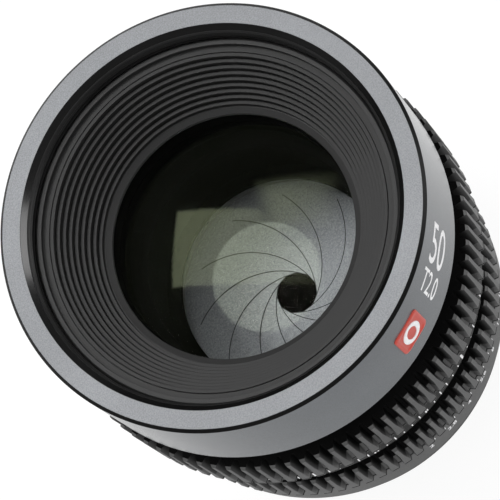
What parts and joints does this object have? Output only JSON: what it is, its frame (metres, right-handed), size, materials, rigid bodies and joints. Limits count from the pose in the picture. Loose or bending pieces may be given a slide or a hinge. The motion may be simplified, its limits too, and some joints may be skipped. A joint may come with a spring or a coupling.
{
  "type": "cinema prime lens",
  "caption": "Cine prime lens with geared focus and iris rings, ribbed front baffle, iris blades that open and close, sliding focus group and a bayonet mount.",
  "frame": {"origin": "centre of the mount flange's seating face", "axes": "+Z along the optical axis towards the front glass, -Y towards the side that the picture shows"},
  "size_m": [0.0728, 0.0728, 0.0892],
  "materials": {
    "grey_anodised": "satin anodised",
    "black_anodised": "matte black",
    "dark_ring": "satin black",
    "raw_aluminium": "turned",
    "red_badge": "satin red",
    "black_steel": "blackened",
    "mount_steel": "satin chrome",
    "bronze": "turned",
    "black_plastic": "matte",
    "blade_steel": "fine grain",
    "coated_glass": "coated"
  },
  "bodies": {
    "barrel": {"front_barrel": "grey_anodised", "filter_ring": "black_anodised", "front_baffle": "black_anodised", "front_retaining_ring": "black_anodised", "badge_plate": "red_badge", "front_cell": "black_anodised", "element_1": "coated_glass", "element_2": "coated_glass", "front_spacer_ring": "black_anodised", "neck_ring": "black_anodised", "barrel_grub_screws": "black_steel", "guide_barrel": "raw_aluminium", "index_ring": "black_anodised", "iris_bushes": "bronze", "iris_cover": "black_anodised", "iris_base_plate": "black_anodised", "rear_cell": "black_anodised", "cell_lock_ring": "black_anodised", "element_6": "coated_glass", "element_7": "coated_glass", "element_8": "coated_glass", "element_9": "coated_glass", "element_10": "coated_glass", "rear_retaining_ring": "black_anodised", "rear_barrel": "black_anodised", "mount_shim": "bronze", "mount_flange": "mount_steel", "mount_screws": "black_steel", "mount_index_dot": "red_badge", "rear_baffle": "black_plastic"},
    "focus": {"focus_ring": "dark_ring", "cam_sleeve": "bronze", "focus_drive_screws": "black_steel"},
    "carriage": {"focus_carriage": "black_anodised", "cam_rollers": "bronze", "roller_screws": "black_steel", "element_3": "coated_glass", "element_4": "coated_glass", "element_5": "coated_glass", "carriage_retaining_ring": "black_anodised"},
    "iris": {"iris_ring": "dark_ring", "iris_drive_key": "mount_steel", "iris_cam_ring": "raw_aluminium"},
    "blade_01": {"iris_blade_01": "blade_steel"},
    "blade_02": {"iris_blade_02": "blade_steel"},
    "blade_03": {"iris_blade_03": "blade_steel"},
    "blade_04": {"iris_blade_04": "blade_steel"},
    "blade_05": {"iris_blade_05": "blade_steel"},
    "blade_06": {"iris_blade_06": "blade_steel"},
    "blade_07": {"iris_blade_07": "blade_steel"},
    "blade_08": {"iris_blade_08": "blade_steel"},
    "blade_09": {"iris_blade_09": "blade_steel"},
    "blade_10": {"iris_blade_10": "blade_steel"},
    "blade_11": {"iris_blade_11": "blade_steel"}
  },
  "joints": [
    {"name": "focus_turn", "type": "hinge", "parent": "barrel", "child": "focus", "pos_m": [0, 0, 0.05], "axis": [0, 0, 1], "range_deg": [0, 165]},
    {"name": "carriage_slide", "type": "slide", "parent": "barrel", "child": "carriage", "axis": [0, 0, 1], "range_m": [0, 0.0058]},
    {"name": "iris_turn", "type": "hinge", "parent": "barrel", "child": "iris", "pos_m": [0, 0, 0.025], "axis": [0, 0, 1], "range_deg": [-8.91, 43.09]},
    {"name": "blade_swing_01", "type": "hinge", "parent": "barrel", "child": "blade_01", "pos_m": [0.023, 0, 0.03], "axis": [0, 0, 1], "range_deg": [-6.1, 29.1]},
    {"name": "blade_swing_02", "type": "hinge", "parent": "barrel", "child": "blade_02", "pos_m": [0.01935, 0.01243, 0.03], "axis": [0, 0, 1], "range_deg": [-6.1, 29.1]},
    {"name": "blade_swing_03", "type": "hinge", "parent": "barrel", "child": "blade_03", "pos_m": [0.00955, 0.02092, 0.03], "axis": [0, 0, 1], "range_deg": [-6.1, 29.1]},
    {"name": "blade_swing_04", "type": "hinge", "parent": "barrel", "child": "blade_04", "pos_m": [-0.00327, 0.02277, 0.03], "axis": [0, 0, 1], "range_deg": [-6.1, 29.1]},
    {"name": "blade_swing_05", "type": "hinge", "parent": "barrel", "child": "blade_05", "pos_m": [-0.01506, 0.01738, 0.03], "axis": [0, 0, 1], "range_deg": [-6.1, 29.1]},
    {"name": "blade_swing_06", "type": "hinge", "parent": "barrel", "child": "blade_06", "pos_m": [-0.02207, 0.00648, 0.03], "axis": [0, 0, 1], "range_deg": [-6.1, 29.1]},
    {"name": "blade_swing_07", "type": "hinge", "parent": "barrel", "child": "blade_07", "pos_m": [-0.02207, -0.00648, 0.03], "axis": [0, 0, 1], "range_deg": [-6.1, 29.1]},
    {"name": "blade_swing_08", "type": "hinge", "parent": "barrel", "child": "blade_08", "pos_m": [-0.01506, -0.01738, 0.03], "axis": [0, 0, 1], "range_deg": [-6.1, 29.1]},
    {"name": "blade_swing_09", "type": "hinge", "parent": "barrel", "child": "blade_09", "pos_m": [-0.00327, -0.02277, 0.03], "axis": [0, 0, 1], "range_deg": [-6.1, 29.1]},
    {"name": "blade_swing_10", "type": "hinge", "parent": "barrel", "child": "blade_10", "pos_m": [0.00955, -0.02092, 0.03], "axis": [0, 0, 1], "range_deg": [-6.1, 29.1]},
    {"name": "blade_swing_11", "type": "hinge", "parent": "barrel", "child": "blade_11", "pos_m": [0.01935, -0.01243, 0.03], "axis": [0, 0, 1], "range_deg": [-6.1, 29.1]}
  ],
  "couplings": [
    {"joint": "carriage_slide", "follows": "focus_turn", "m_per_rad": 0.0019967},
    {"joint": "blade_swing_01", "follows": "iris_turn", "ratio": 0.67308},
    {"joint": "blade_swing_02", "follows": "iris_turn", "ratio": 0.67308},
    {"joint": "blade_swing_03", "follows": "iris_turn", "ratio": 0.67308},
    {"joint": "blade_swing_04", "follows": "iris_turn", "ratio": 0.67308},
    {"joint": "blade_swing_05", "follows": "iris_turn", "ratio": 0.67308},
    {"joint": "blade_swing_06", "follows": "iris_turn", "ratio": 0.67308},
    {"joint": "blade_swing_07", "follows": "iris_turn", "ratio": 0.67308},
    {"joint": "blade_swing_08", "follows": "iris_turn", "ratio": 0.67308},
    {"joint": "blade_swing_09", "follows": "iris_turn", "ratio": 0.67308},
    {"joint": "blade_swing_10", "follows": "iris_turn", "ratio": 0.67308},
    {"joint": "blade_swing_11", "follows": "iris_turn", "ratio": 0.67308}
  ]
}
